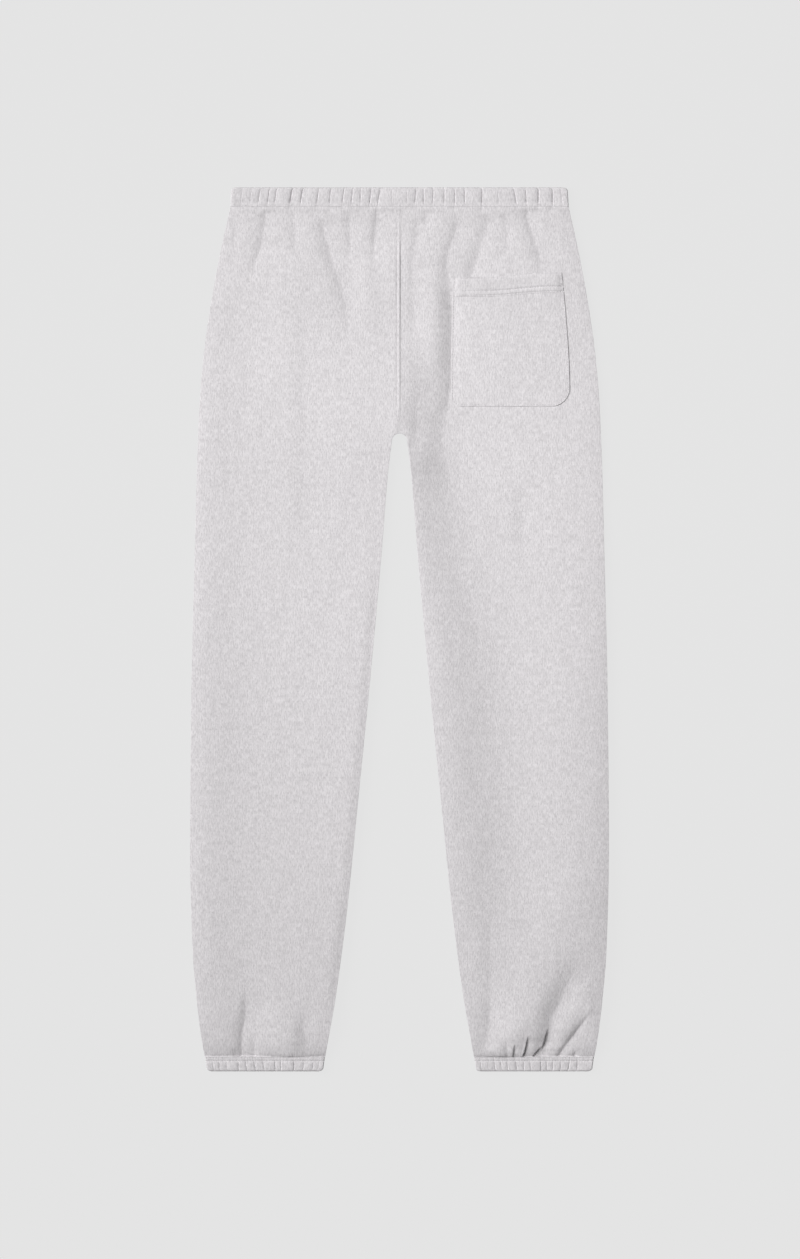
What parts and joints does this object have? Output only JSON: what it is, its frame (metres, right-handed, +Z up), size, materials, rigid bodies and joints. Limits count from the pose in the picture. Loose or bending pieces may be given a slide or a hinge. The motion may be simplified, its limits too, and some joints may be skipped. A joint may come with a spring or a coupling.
{
  "type": "jogger sweatpants laid flat",
  "caption": "Jogger sweatpants in heavy brushed fleece, laid flat with the back up: gathered elastic waistband, elastic leg hems and a patch pocket on the right seat.",
  "frame": {"origin": "middle of the garment's footprint, on the surface that it lies on", "axes": "+Y towards the waist along the length, +X towards the wearer's right leg, +Z up off the surface, with the back of the garment facing +Z"},
  "size_m": [0.4938, 1.043, 0.0112],
  "materials": {
    "fleece": "light heather grey heavyweight cotton fleece, matt, with a short soft nap",
    "elastic_casing": "the same fleece, folded over elastic and gathered into narrow pleats"
  },
  "bodies": {
    "root": {"back_left": "fleece", "back_right": "fleece", "front_left": "fleece", "front_right": "fleece", "back_pocket": "fleece", "waistband": "elastic_casing", "cuff_left": "elastic_casing", "cuff_right": "elastic_casing"}
  },
  "joints": []
}
